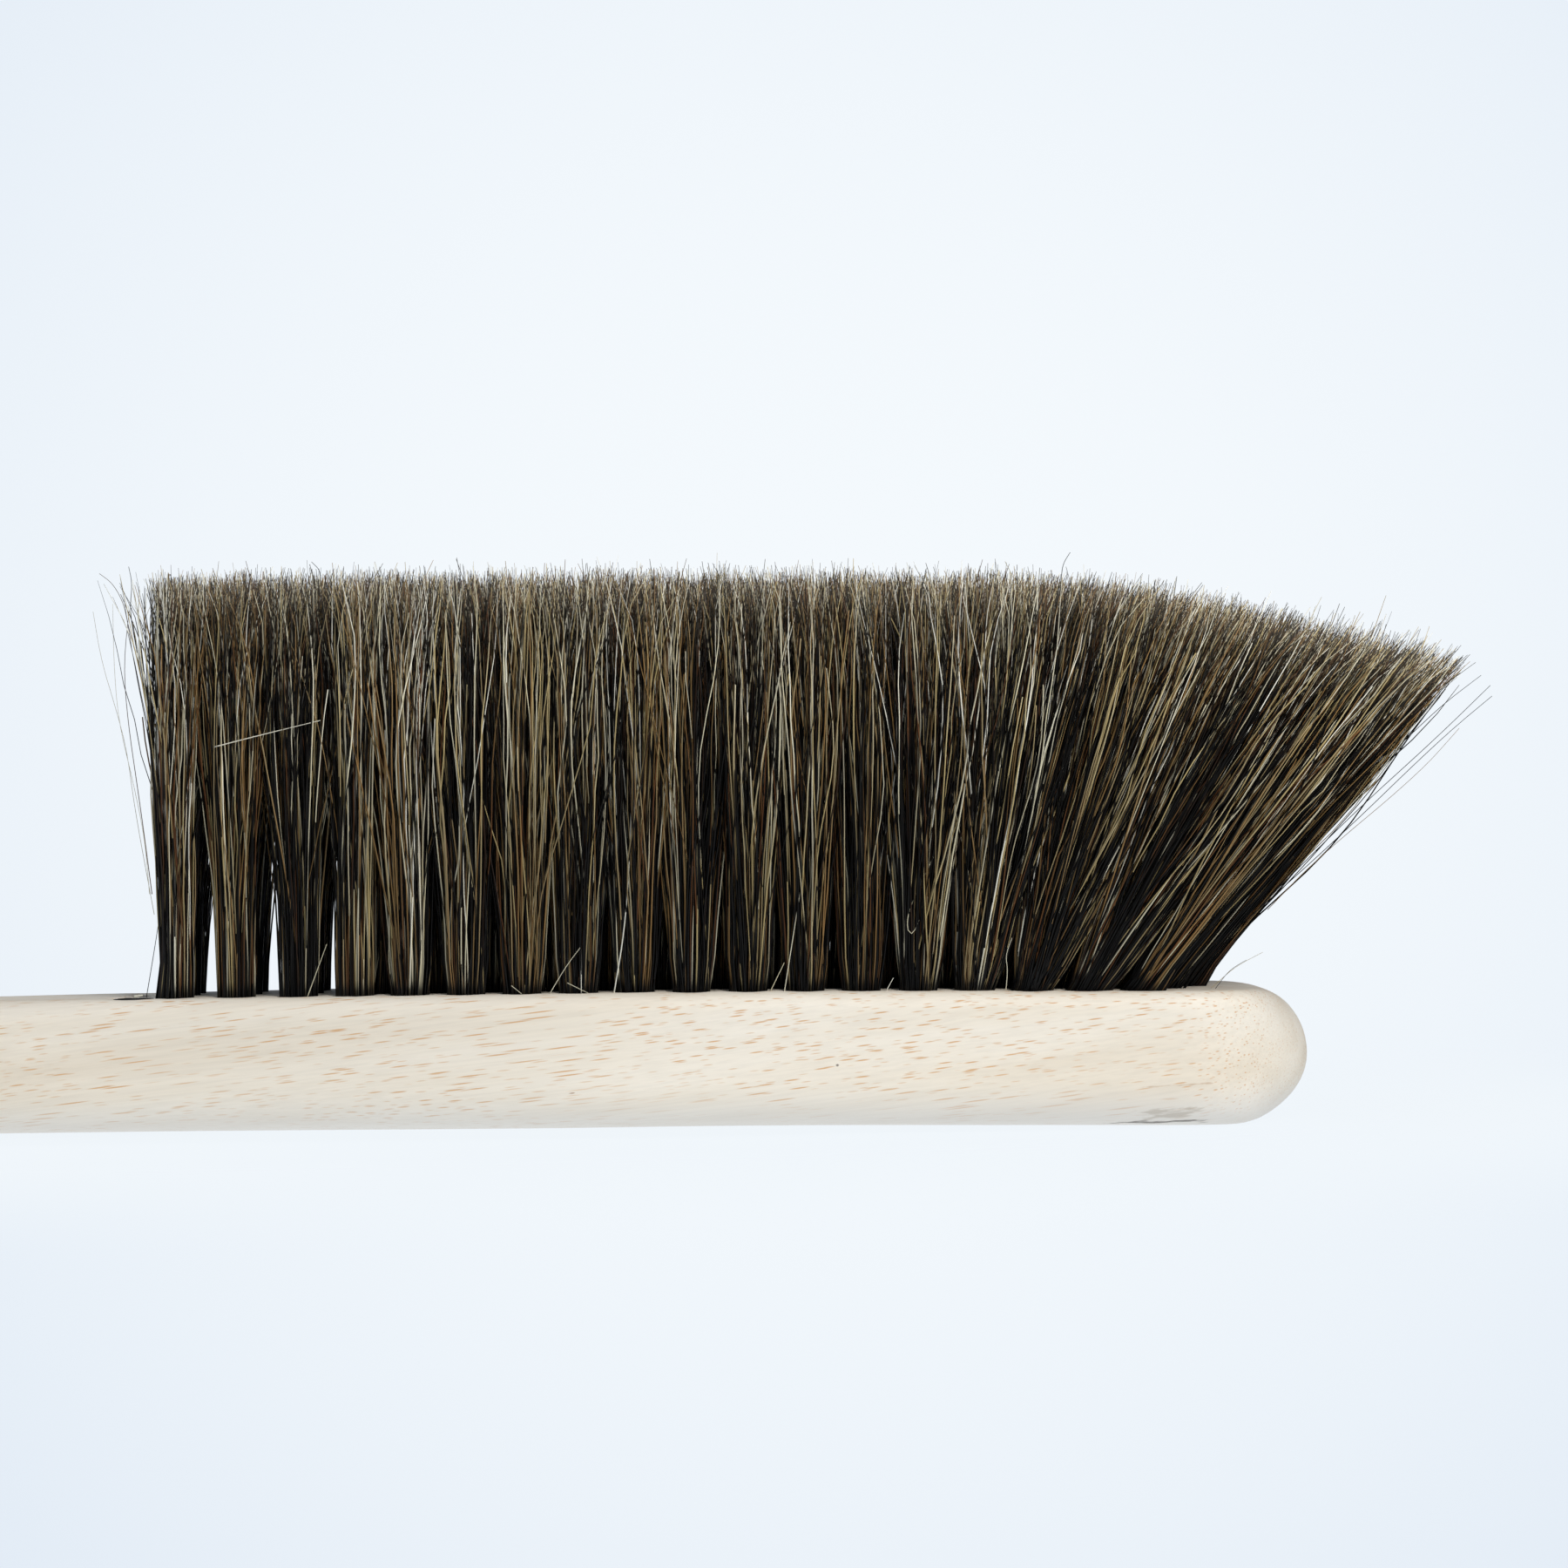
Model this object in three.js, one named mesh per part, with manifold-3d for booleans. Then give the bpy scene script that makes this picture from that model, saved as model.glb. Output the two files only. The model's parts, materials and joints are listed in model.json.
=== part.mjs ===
// A wooden counter brush, resting on its back with the bristles up.
// Millimetres, +Z up. x runs from the handle end to the tip, y runs across the brush.
// The block is one piece of hardwood with blind holes. Each hole holds one tuft of hair.

import * as THREE from 'three';
import { mergeVertices } from 'three/addons/utils/BufferGeometryUtils.js';
import Module from 'manifold-3d';

const wasm = await Module();
wasm.setup();

// ---- block ----
const LENGTH = 300;
const THICKNESS = 19.5;
const BRUSH_HALF_WIDTH = 21;
const NECK_HALF_WIDTH = 12.5;
const HANDLE_HALF_WIDTH = 14.2;
const NECK = { start: 118, end: 204 };         // the block widens from neck to brush
const HANDLE_SWELL = { start: 104, end: 40 };  // the handle swells again towards its end
const TIP_PLAN_LENGTH = 20;                    // rounding seen from above
const TIP_SIDE_LENGTH = { top: 9, bottom: 11.5 };   // rounding seen from the side
const END_PLAN_LENGTH = 15;
const END_SIDE_LENGTH = 11;
const EDGE_RADIUS = { brushTop: 2.5, brushBottom: 7, handleTop: 8, handleBottom: 8.5 };
const EDGE_CHANGE = { start: 92, end: 130 };   // edges sharpen from handle to brush
const HANG_HOLE = { x: 20, radius: 4, sides: 16 };

// ---- bend of the block: level under the bristles, then falling towards the handle end ----
const BEND_START = 238;
const BEND_LENGTH = 40;
const BEND_SLOPE = 0.0175;
const GRIP_BEND_START = 108;
const GRIP_BEND = 0.00019;

// ---- tuft field ----
const PITCH = 8.1;
const FIRST_COLUMN = 137.5;
const FIRST_DRIFT = 1;                         // the first two columns stand back by 2 and 1 of these
const OUTER_TUFTS = 18;
const CENTRE_TUFTS = 19;
const CENTRE_PITCH = 8.04;
const FIRST_STAGGERED = 3.5;                   // in columns: between the fourth and the fifth
const STAGGERED_TUFTS = 15;
const ROW_INSET = 6;                           // outer row to the edge of the block
const EMPTY_COLUMN_X = 129.4;                  // one drilled column holds no tufts

// ---- holes and tufts ----
const HOLE_SIDES = 12;
const HOLE_RADIUS = 2.75;
const HOLE_DEPTH = 6.8;
const TUFT_SIDES = 8;
const ROOT_RADIUS = 2.45;
const ROOT_GAP = 0.5;                          // tuft to the bottom of its hole
const FLARE = { start: 2, end: 20, radius: 3 };
const TUFT_LENGTH = 59.2;                      // free length above the wood
const LEANING_EXTRA = 2.3;                     // how much longer a fully leaning tuft is
const LINK = { height: 48, size: 1.4 };        // matted hair between the tufts of an inner row

// ---- lean of the tufts: upright, then fanning out towards the tip ----
const FAN = { start: 241.6, end: 278.6, lean: THREE.MathUtils.degToRad(38.5) };
const OUTER_SPREAD = THREE.MathUtils.degToRad(4);
const STAGGERED_SPREAD = THREE.MathUtils.degToRad(2);

// ---- mesh fineness ----
const POINTS_PER_EDGE = 9;
const TIP_STATIONS = 12;
const END_STATIONS = 10;
const BODY_STATIONS = 54;

const wood = new THREE.MeshStandardMaterial({ color: 0xe6dccb, roughness: 0.62, metalness: 0 });
const hair = new THREE.MeshStandardMaterial({ color: 0x4a4234, roughness: 0.8, metalness: 0 });

const { smoothstep, lerp } = THREE.MathUtils;

// 1 along the body, falling to 0 at x = end over the given length, as a quarter ellipse.
function roundedEnd(x, end, length) {
  const past = 1 - Math.min(Math.abs(end - x) / length, 1);
  return Math.sqrt(1 - past * past);
}

function sideHalfWidth(x) {
  const swell = smoothstep(HANDLE_SWELL.start - x, 0, HANDLE_SWELL.start - HANDLE_SWELL.end);
  const widen = smoothstep(x, NECK.start, NECK.end);
  const handle = (HANDLE_HALF_WIDTH - NECK_HALF_WIDTH) * swell;
  return NECK_HALF_WIDTH + handle + (BRUSH_HALF_WIDTH - NECK_HALF_WIDTH) * widen;
}

function halfWidth(x) {
  return sideHalfWidth(x) * roundedEnd(x, LENGTH, TIP_PLAN_LENGTH) * roundedEnd(x, 0, END_PLAN_LENGTH);
}

// From the middle of the section up to its top, or down to its bottom.
function halfThickness(x, tipLength) {
  return THICKNESS / 2 * roundedEnd(x, LENGTH, tipLength) * roundedEnd(x, 0, END_SIDE_LENGTH);
}

// How far the block lies below its level stretch.
function droop(x) {
  const past = Math.max(BEND_START - x, 0);
  const curved = Math.min(past, BEND_LENGTH);
  const straight = past - curved;
  const grip = Math.max(GRIP_BEND_START - x, 0);
  return BEND_SLOPE * (curved * curved / (2 * BEND_LENGTH) + straight) + GRIP_BEND * grip * grip;
}

function stationX(row) {
  if (row <= TIP_STATIONS) {
    return LENGTH - TIP_PLAN_LENGTH * (1 - Math.cos(Math.PI / 2 * row / TIP_STATIONS));
  }
  const afterTip = row - TIP_STATIONS;
  if (afterTip <= BODY_STATIONS) {
    return lerp(LENGTH - TIP_PLAN_LENGTH, END_PLAN_LENGTH, afterTip / BODY_STATIONS);
  }
  const intoEnd = (afterTip - BODY_STATIONS) / END_STATIONS;
  return END_PLAN_LENGTH * (1 - Math.sin(Math.PI / 2 * intoEnd));
}

// One point of the section at x, counted round from +Y. It is a rectangle with four rounded
// edges, which turns into an oval at the two ends.
function sectionPoint(x, index) {
  const corner = Math.floor(index / POINTS_PER_EDGE) % 4;
  const along = index % POINTS_PER_EDGE / (POINTS_PER_EDGE - 1);
  const angle = Math.PI / 2 * (corner + along);
  const top = corner < 2;
  const brushness = smoothstep(x, EDGE_CHANGE.start, EDGE_CHANGE.end);
  const handleRadius = top ? EDGE_RADIUS.handleTop : EDGE_RADIUS.handleBottom;
  const brushRadius = top ? EDGE_RADIUS.brushTop : EDGE_RADIUS.brushBottom;
  const wide = halfWidth(x);
  const tall = halfThickness(x, top ? TIP_SIDE_LENGTH.top : TIP_SIDE_LENGTH.bottom);
  const radius = Math.min(lerp(handleRadius, brushRadius, brushness), 0.98 * wide, 0.98 * tall);
  const sideY = corner === 0 || corner === 3 ? 1 : -1;
  const sideZ = top ? 1 : -1;
  const boxY = sideY * (wide - radius) + radius * Math.cos(angle);
  const boxZ = sideZ * (tall - radius) + radius * Math.sin(angle);
  const ovalAngle = 2 * Math.PI * (index + 0.5) / (4 * POINTS_PER_EDGE);
  const ovalness = Math.max(
    smoothstep(x, LENGTH - TIP_SIDE_LENGTH.bottom, LENGTH),
    smoothstep(END_SIDE_LENGTH - x, 0, END_SIDE_LENGTH),
  );
  return new THREE.Vector3(
    x,
    lerp(boxY, wide * Math.cos(ovalAngle), ovalness),
    THICKNESS / 2 - droop(x) + lerp(boxZ, tall * Math.sin(ovalAngle), ovalness),
  );
}

// A sphere pulled out along x: each row of its vertices becomes one section of the block.
function blockGeometry() {
  const rows = TIP_STATIONS + BODY_STATIONS + END_STATIONS;
  const around = 4 * POINTS_PER_EDGE;
  const geometry = new THREE.SphereGeometry(1, around, rows);
  const position = geometry.attributes.position;
  for (let vertex = 0; vertex < position.count; vertex += 1) {
    const row = Math.floor(vertex / (around + 1));
    const index = vertex % (around + 1) % around;
    const point = sectionPoint(stationX(row), index);
    position.setXYZ(vertex, point.x, point.y, point.z);
  }
  return geometry;
}

// Position-only copy with shared vertices and no collapsed triangles.
function closedGeometry(source) {
  const plain = source.clone();
  plain.deleteAttribute('normal');
  plain.deleteAttribute('uv');
  const merged = mergeVertices(plain, 1e-4);
  const kept = [];
  const corners = merged.index.array;
  for (let i = 0; i < corners.length; i += 3) {
    const [a, b, c] = [corners[i], corners[i + 1], corners[i + 2]];
    if (a !== b && b !== c && c !== a) {
      kept.push(a, b, c);
    }
  }
  merged.setIndex(kept);
  return merged;
}

function toManifold(source) {
  const closed = closedGeometry(source);
  return new wasm.Manifold(new wasm.Mesh({
    numProp: 3,
    vertProperties: Float32Array.from(closed.attributes.position.array),
    triVerts: Uint32Array.from(closed.index.array),
  }));
}

function fromManifold(solid) {
  const mesh = solid.getMesh();
  const geometry = new THREE.BufferGeometry();
  geometry.setAttribute('position', new THREE.BufferAttribute(mesh.vertProperties, 3));
  geometry.setIndex(new THREE.BufferAttribute(mesh.triVerts, 1));
  geometry.computeVertexNormals();
  return geometry;
}

// A solid of revolution about its own z axis from [radius, height] pairs.
function turned(profile, sides) {
  const points = profile.map(([radius, height]) => new THREE.Vector2(radius, height));
  const geometry = new THREE.LatheGeometry(points, sides);
  geometry.rotateX(Math.PI / 2);
  return closedGeometry(geometry);
}

// Where a tuft leaves the wood and which way it points.
// side is -1 for the near half, 0 for the centre and 1 for the far half.
function tuftPlace(x, side, rowShare, spread) {
  const y = side * rowShare * (sideHalfWidth(x) - ROW_INSET);
  const fanned = smoothstep(x, FAN.start, FAN.end);
  const lean = FAN.lean * fanned;
  const root = new THREE.Vector3(x, y, THICKNESS - droop(x));
  const direction = new THREE.Vector3(Math.tan(lean), Math.tan(side * spread), 1).normalize();
  const turnTo = new THREE.Quaternion().setFromUnitVectors(new THREE.Vector3(0, 0, 1), direction);
  const length = TUFT_LENGTH + droop(x) + LEANING_EXTRA * fanned;
  return { root, direction, turnTo, length };
}

function placeMatrix(place) {
  return new THREE.Matrix4().compose(place.root, place.turnTo, new THREE.Vector3(1, 1, 1));
}

function tuftGeometry(length) {
  return turned([
    [0, ROOT_GAP - HOLE_DEPTH],
    [ROOT_RADIUS, ROOT_GAP - HOLE_DEPTH],
    [ROOT_RADIUS, FLARE.start],
    [FLARE.radius, FLARE.end],
    [FLARE.radius, length],
    [0, length],
  ], TUFT_SIDES);
}

function holeCutter(place) {
  const cutter = turned([
    [0, -HOLE_DEPTH],
    [HOLE_RADIUS, -HOLE_DEPTH],
    [HOLE_RADIUS, THICKNESS],
    [0, THICKNESS],
  ], HOLE_SIDES);
  return toManifold(cutter.applyMatrix4(placeMatrix(place)));
}

function hangHoleCutter() {
  const cutter = turned([
    [0, -THICKNESS],
    [HANG_HOLE.radius, -THICKNESS],
    [HANG_HOLE.radius, THICKNESS],
    [0, THICKNESS],
  ], HANG_HOLE.sides);
  return toManifold(cutter.translate(HANG_HOLE.x, 0, THICKNESS / 2 - droop(HANG_HOLE.x)));
}

function columnX(column, pitch = PITCH) {
  return FIRST_COLUMN + column * pitch - FIRST_DRIFT * Math.max(2 - column, 0);
}

function outerRow(side) {
  return Array.from({ length: OUTER_TUFTS }, (_, i) => tuftPlace(columnX(i), side, 1, OUTER_SPREAD));
}

function staggeredRow(side) {
  return Array.from({ length: STAGGERED_TUFTS }, (_, i) => (
    tuftPlace(columnX(FIRST_STAGGERED + i), side, 0.5, STAGGERED_SPREAD)
  ));
}

function middleRow() {
  return Array.from({ length: CENTRE_TUFTS }, (_, i) => tuftPlace(columnX(i, CENTRE_PITCH), 0, 0, 0));
}

function woodenBody(places) {
  let block = toManifold(blockGeometry());
  for (const place of places) {
    block = block.subtract(holeCutter(place));
  }
  const mesh = new THREE.Mesh(fromManifold(block.subtract(hangHoleCutter())), wood);
  mesh.name = 'wooden_body';
  return mesh;
}

function tuftMesh(name, place) {
  const mesh = new THREE.Mesh(tuftGeometry(place.length), hair);
  mesh.name = name;
  mesh.position.copy(place.root);
  mesh.quaternion.copy(place.turnTo);
  return mesh;
}

function tuftMeshes(rowName, places) {
  return places.map((place, i) => tuftMesh(`${rowName}_tuft_${String(i + 1).padStart(2, '0')}`, place));
}

// A little bar of matted hair that joins two neighbouring tufts near the trim.
function linkBar(from, to) {
  const start = from.root.clone().addScaledVector(from.direction, LINK.height);
  const end = to.root.clone().addScaledVector(to.direction, LINK.height);
  const bar = new THREE.BoxGeometry(start.distanceTo(end), LINK.size, LINK.size);
  const turn = new THREE.Quaternion().setFromUnitVectors(
    new THREE.Vector3(1, 0, 0), end.clone().sub(start).normalize());
  const middle = start.add(end).multiplyScalar(0.5);
  return toManifold(bar.applyQuaternion(turn).translate(middle.x, middle.y, middle.z));
}

// The tufts of one inner row, joined into a single closed body.
function joinedRow(name, places) {
  let solid = null;
  places.forEach((place, i) => {
    const tuft = toManifold(tuftGeometry(place.length).applyMatrix4(placeMatrix(place)));
    solid = solid ? solid.add(linkBar(places[i - 1], place)).add(tuft) : tuft;
  });
  const mesh = new THREE.Mesh(fromManifold(solid), hair);
  mesh.name = name;
  return mesh;
}

// The lean that lets the back rest on the handle end and on the last of the flat at the tip.
function restingTilt() {
  const toe = LENGTH - TIP_SIDE_LENGTH.bottom;
  let slope = 0;
  for (let r = 0; r <= TIP_STATIONS + BODY_STATIONS + END_STATIONS; r += 1) {
    const x = stationX(r);
    if (x < toe) {
      const under = THICKNESS / 2 - droop(x) - halfThickness(x, TIP_SIDE_LENGTH.bottom);
      slope = Math.max(slope, -under / (toe - x));
    }
  }
  return Math.atan(slope);
}

const nearRow = outerRow(-1);
const farRow = outerRow(1);
const centreRow = middleRow();
const innerNear = staggeredRow(-1);
const innerFar = staggeredRow(1);
const emptyHoles = [-1, 0, 1].map((side) => tuftPlace(EMPTY_COLUMN_X, side, 1, 0));

const brush = new THREE.Group();
brush.add(woodenBody([...nearRow, ...farRow, ...centreRow, ...innerNear, ...innerFar, ...emptyHoles]));
brush.add(...tuftMeshes('near', nearRow));
brush.add(...tuftMeshes('far', farRow));
brush.add(...tuftMeshes('centre', centreRow));
brush.add(joinedRow('inner_row_near', innerNear));
brush.add(joinedRow('inner_row_far', innerFar));
brush.rotation.y = restingTilt();

// The origin is the middle of the bounding box, at the level that the brush rests on.
brush.updateMatrixWorld(true);
const box = new THREE.Box3().setFromObject(brush, true);
const middle = box.getCenter(new THREE.Vector3());
brush.position.set(-middle.x, -middle.y, -box.min.z);

export default brush;
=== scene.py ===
"""The looks of a wooden hand brush: the block, the hair of its 85 tufts, and the studio."""

import json
import math

import bpy
import numpy as np
from mathutils import Matrix, Vector

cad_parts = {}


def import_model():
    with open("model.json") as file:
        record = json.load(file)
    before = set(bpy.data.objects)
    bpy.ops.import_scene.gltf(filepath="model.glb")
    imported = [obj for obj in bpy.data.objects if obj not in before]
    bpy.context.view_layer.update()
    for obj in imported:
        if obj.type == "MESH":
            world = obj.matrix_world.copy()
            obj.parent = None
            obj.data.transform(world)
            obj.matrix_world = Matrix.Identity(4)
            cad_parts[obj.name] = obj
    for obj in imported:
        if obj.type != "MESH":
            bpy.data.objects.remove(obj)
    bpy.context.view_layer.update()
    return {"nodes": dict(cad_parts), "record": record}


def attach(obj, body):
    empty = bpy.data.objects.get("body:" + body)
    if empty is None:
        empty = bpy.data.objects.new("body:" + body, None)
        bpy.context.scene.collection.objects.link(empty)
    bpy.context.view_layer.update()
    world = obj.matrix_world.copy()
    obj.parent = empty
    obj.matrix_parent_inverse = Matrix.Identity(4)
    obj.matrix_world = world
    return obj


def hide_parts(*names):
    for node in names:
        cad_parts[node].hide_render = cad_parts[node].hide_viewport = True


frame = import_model()

MM = 0.001

# ---- view: distances in the brush's own plane, from the back face mount ----
VIEW_ALONG = -39.4 * MM
VIEW_UP = 48.9 * MM
VIEW_DISTANCE = 700 * MM
SENSOR = 36.0
FRAME_WIDTH = 229.3 * MM

# ---- wood mesh ----
WOOD_VOXEL = 0.72 * MM
WOOD_SMOOTHING = 5
WORN_REACH = 5.2 * MM        # how far from the middle of the empty near hole the wood is worn
WORN_DEPTH = 0.2 * MM

# ---- wood looks ----
PAINTED_BOUNCE = (1.0 * MM, 7.5 * MM)     # painted light bounced from the floor: the edge along the back is painted paler between these heights
PAINTED_BOUNCE_STRENGTH = 0.6
HOLE_SHADE = (2.95, 2.95, 7.0)       # half sizes in mm of the painted shade in an empty hole
MARK_DEPTH = 9                       # half size in mm of a mark, into the wood
NEAR_SIDE = 20 * MM                  # how far out from the middle plane the marks lie

# Small marks on the near side. Along from the view axis, height above the back, half length and
# half height in mm, slope in degrees, strength and colour.
WOOD_MARKS = (
    (54.5, 2.0, 5.6, 0.9, 0, 0.50, (168, 155, 138)),
    (54.0, 0.7, 6.5, 0.25, 0, 0.85, (104, 96, 90)),
    (56.5, 6.2, 5.6, 0.16, 2, 0.65, (186, 156, 126)),
    (7.6, 9.0, 0.27, 0.22, 0, 0.80, (78, 66, 56)),
    (-71.5, 13.8, 0.8, 0.4, 12, 0.45, (190, 140, 98)),
    (-30.0, 5.0, 0.5, 0.14, 5, 0.70, (150, 104, 70)),
)

# ---- tufts ----
ROOT_DEPTH = 6.3 * MM        # how deep a tuft sits in the wood
HAIR_START = 5.0 * MM        # how far below the wood a hair's mesh starts
ROOT_RADIUS = 2.75 * MM
EMPTY_COLUMN = 0.67          # how far the empty holes stand before the first tufts, in tuft steps
FIRST_INNER_COLUMN = 3       # counted from nought
TRIM_SPAN = 8.1 * MM         # the room that an upright tuft has along its row
ROW_REACH = 0.60             # how far a tuft spreads, as a share of the way to the next one
SIDE_REACH = 4.6 * MM        # how far it spreads across the row
LAST_REACH = 0.5             # how far the last tuft spreads ahead, as a share of TRIM_SPAN
CLUMPS = 22
CLUMP_OVERLAP = 0.22         # how far hairs stray into the next clump, in tuft radii
OWN_PULL = 0.30              # where a hair ends: its own place and its clump's, in these shares
CLUMP_PULL = 0.80
END_SCATTER = 0.09
HAIRS = 340                  # in an upright tuft, and more in a wider one
INNER_HAIRS = 126            # the same for the inner rows
HAIR_RINGS = 14
HAIR_SIDES = 3
HAIR_RADII = (0.075, 0.16)   # thinnest and thickest, in mm
HAIR_TAPER = 0.7             # how much of its radius a hair loses by its tip
BROKEN_SHARE = 0.28
BROKEN_HEIGHTS = (0.68, 0.99)
FLARE_POWER = 1.15
OPEN_GAPS = 4
GAP_POWER = 1.85
BULGE_START = 0.04           # the height where a tuft is widest above the wood, as a share
BASE_BULGE = 0.45 * MM       # how much wider a tuft gets just above the wood
OPEN_BULGE = 0.12 * MM       # the same for the tufts with light between them
END_BULGE = -0.75 * MM       # the same for the outer side of the first and last tufts
FIRST_BULGE = 4.6 * MM       # how far the first tufts spread back, high up
CROSSING_SHARE = 0.38
CROSSING_REACH = 1.35        # how far the crossing hairs go, against the others
TRIM_LEVEL = -0.7 * MM       # where the hairs end, against the trim of the CAD tuft
TRIM_SCATTER = 0.9 * MM
CLUMP_SCATTER = 0.6 * MM
CLUMP_BOW = 1.2              # how far a clump and a hair bow sideways, in mm
LEANING_BOW = 2.2            # added to a clump's bow in a tuft that leans fully
HAIR_BOW = 1.25
BENT_SHARE = 0.34            # the share of hairs with a kink, and where the kink may be
BEND_HEIGHTS = (0.15, 0.9)
BEND_SLOPE = 0.12
STEEPEST_BEND = 0.2
BEND_DIRECTIONS = (1, 0.4)   # along the row and across it
CURLED_END = 0.15            # the share of a hair's height that curls at its tip
TIP_CURL = 0.9 * MM
WAVES = ((0.55 * MM, 0.7, 2.0), (0.16 * MM, 2.5, 5.5))   # size, fewest and most turns

# ---- hair looks ----
HAIR_PALETTE = (
    (0.00, (5, 4, 3)),
    (0.36, (13, 10, 7)),
    (0.46, (48, 31, 17)),
    (0.53, (98, 62, 33)),
    (0.59, (103, 83, 50)),
    (0.65, (144, 111, 67)),
    (0.72, (146, 130, 96)),
    (0.79, (182, 162, 112)),
    (0.86, (184, 178, 156)),
    (0.92, (222, 212, 178)),
    (1.00, (236, 232, 216)),
)
TIP_COLOUR = (150, 140, 120)
BLEACHING = 0.17             # how much paler a hair's tone is at its tip
# How much light reaches a hair, by its height.
HAIR_SHADE = ((0.0, 0.04), (0.015, 0.1), (0.04, 0.7), (0.12, 0.9), (0.35, 0.9), (0.75, 1.36), (1.0, 1.3))

# The tones that hairs have, as places in the palette, with their shares among single hairs and
# among the favourites of clumps.
TONES = (0.12, 0.30, 0.45, 0.54, 0.64, 0.75, 0.88)
TONE_SHARES = (0.41, 0.20, 0.07, 0.07, 0.08, 0.09, 0.08)
CLUMP_SHARES = (0.44, 0.16, 0.07, 0.12, 0.12, 0.07, 0.02)
FAVOURITE_SHARE = 0.35
TUFT_TONE_SCATTER = 0.02
HAIR_TONE_SCATTER = 0.035
TONE_BINS = 64
STRIP = (0.2, 0.8)           # where a hair's strip starts and ends in its tone bin
CAP_HEIGHT = 0.02            # how much of the strip's height a hair's end cap takes

# ---- loose hairs ----
# Single hairs that stand away from the rest: tone, radius in mm, and points in mm along from the
# view axis, above the wood and out from the near row.
LOOSE_HAIRS = (
    (0.93, 0.06, ((-91, 15, 1), (-91.5, 23, 1), (-93, 31, 1), (-95, 40, 1), (-95.5, 48, 1),
                  (-95.5, 57, 1))),
    (0.78, 0.05, ((-90.5, 12, 0), (-93, 27, 0), (-94, 36, 0), (-95.5, 42, 0), (-97.5, 49, 0),
                  (-98.5, 56, 0))),
    (0.46, 0.08, ((-90.5, 15, 2), (-91.5, 24, 2), (-92.5, 32, 2), (-93.5, 40, 2), (-94, 48, 2),
                  (-93, 56, 2))),
    (0.50, 0.07, ((-92, 48, 0), (-93.5, 54, 0), (-94, 57, 0), (-95.5, 60, 0), (-97.5, 61.5, 0))),
    (0.30, 0.08, ((-92.5, 50, -2), (-93.5, 56, -2), (-93, 60, -2), (-93.5, 62.5, -2))),
    (0.30, 0.07, ((-92, 0, -1), (-90.5, 8, -1), (-89.5, 14, -1), (-90, 23, -1))),
    (0.93, 0.25, ((-93.5, 0.2, 1), (-92.2, 0.4, 1.6))),
    (0.93, 0.11, ((-80.5, 36, 6.6), (-74, 37.5, 7.4), (-65, 39.5, 7.0))),
    (0.85, 0.10, ((-68, 0, 3), (-65, 7.5, 3.6))),
    (0.82, 0.08, ((-38.5, 1.2, 3.2), (-37, 0, 3.4))),
    (0.90, 0.08, ((-33, 0, 3.2), (-30.5, 4, 3.8), (-28.5, 6.5, 3.8))),
    (0.82, 0.08, ((-30.5, 1.5, 3.4), (-27.5, 0, 3.6))),
    (0.95, 0.09, ((-28.5, 0, 3), (-28.3, 13, 3.6))),
    (0.96, 0.13, ((-24, -1, 3), (-22, 9.5, 3.6), (-21, 22, 3.8), (-20.5, 34, 3.8))),
    (0.87, 0.09, ((-1.5, 0, 3), (0.5, 4, 3.6))),
    (0.90, 0.10, ((0.3, -1, 3), (3.3, 16, 3.8))),
    (0.96, 0.09, ((15, 0, 3), (16, 1.8, 3.4))),
    (0.88, 0.09, ((22, 19, 3.4), (18.3, 11.6, 4), (18, 8.6, 4), (18.8, 7.8, 4), (19.8, 10, 3.8))),
    (0.90, 0.08, ((32, 0, 3), (32.3, 3, 3.5), (32, 5, 3.6), (33, 7.5, 3.5))),
    (0.10, 0.08, ((-65.5, 57, 0), (-65, 61, 0), (-66.5, 62.5, 0))),
    (0.10, 0.08, ((41, 56, 1), (41.2, 59.5, 1), (41.5, 61, 1), (42.5, 62.5, 1))),
    (0.15, 0.08, ((66, 9, 0), (80, 21, 0), (95, 35, 0), (102.5, 41, 0))),
    (0.25, 0.08, ((70, 13, 2), (82.5, 25, 2), (94, 35, 2), (102, 42.5, 2))),
    (0.60, 0.06, ((70, 11, -2), (77, 18, -2), (92, 30, -2), (98, 36.5, -2))),
    (0.15, 0.07, ((90, 35, 0), (95.5, 40, 0), (101, 44, 0))),
    (0.75, 0.05, ((61.5, 0, 0), (62.7, 1, 0), (65, 3, 0), (69, 5, 0))),
    (0.30, 0.05, ((62, 0, 1.5), (64, 2.6, 1.5), (66.5, 4, 1.5))),
)
LOOSE_RINGS = 20
LOOSE_HEIGHT = 0.3           # the place on the hair strip that colours a loose hair
LOOSE_TIP = 0.6              # how thick its tip is, against its root

# ---- wire anchors ----
WIRE = Vector((5.0 * MM, 0.45 * MM, 1.8 * MM))
WIRE_LIFT = 0.6 * MM
BOX_FACES = ((0, 2, 3, 1), (4, 5, 7, 6), (0, 1, 5, 4), (2, 6, 7, 3), (0, 4, 6, 2), (1, 3, 7, 5))

# ---- studio ----
SKY_STRENGTH = 0.36
FLOOR_RADIUS = 0.5
FLOOR_SIDES = 64
FLOOR_LEVEL = -0.05 * MM
FLOOR_GLOW = 0.95
FLOOR_FADE = (0.03, 0.19)    # where the floor starts and ends its fade, across the brush
FLOOR_SQUEEZE = (0.4, 1, 1)  # the fade reaches further along the brush

rng = np.random.default_rng(20)
mount = frame["record"]["mounts"][0]
up = -Vector(mount["axis"]).normalized()
along = Vector((0, 1, 0)).cross(up).normalized()


# ---------------------------------------------------------------- helpers

def view_point(distance_along, height):
    """A point in the brush's middle plane, along from the view axis and up from the back."""
    return Vector(mount["pos_m"]) + along * (VIEW_ALONG + distance_along) + up * height


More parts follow.
